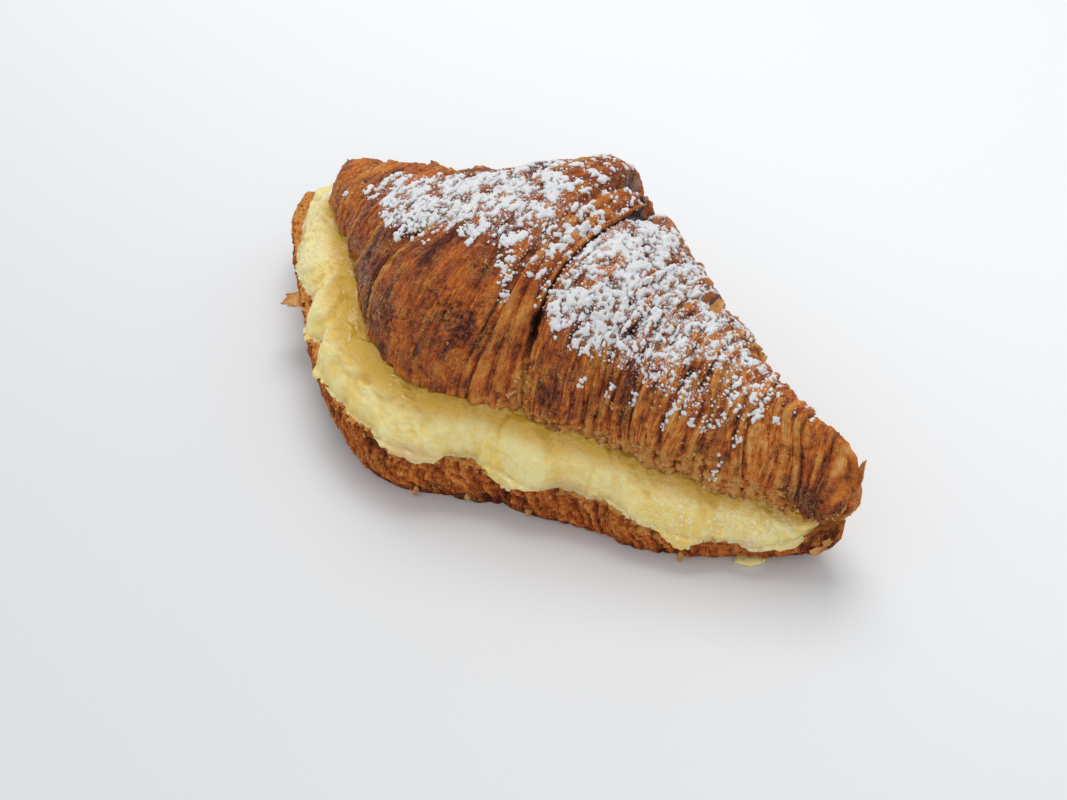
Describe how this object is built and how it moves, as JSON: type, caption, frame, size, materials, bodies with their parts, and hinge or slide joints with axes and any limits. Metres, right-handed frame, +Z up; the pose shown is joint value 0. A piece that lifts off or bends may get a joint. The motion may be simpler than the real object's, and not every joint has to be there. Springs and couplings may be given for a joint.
{
  "type": "custard filled croissant",
  "caption": "Croissant cut level like a sandwich roll, filled with pale custard and dusted with icing sugar, lying on its flat baked base.",
  "frame": {"origin": "centre of the footprint, on the surface that the pastry rests on", "axes": "+X along the pastry to its longer tip, +Z up, -Y towards the side that shows the most filling"},
  "size_m": [0.1714, 0.0872, 0.0613],
  "materials": {
    "base_crust": "baked, matt, flaky",
    "custard_cream": "moist, softly glossy",
    "top_crust": "egg-washed, softly glossy, flaky",
    "icing_sugar": "fine matt powder"
  },
  "bodies": {
    "root": {"lower_half": "base_crust", "custard": "custard_cream", "upper_half": "top_crust"}
  },
  "joints": []
}
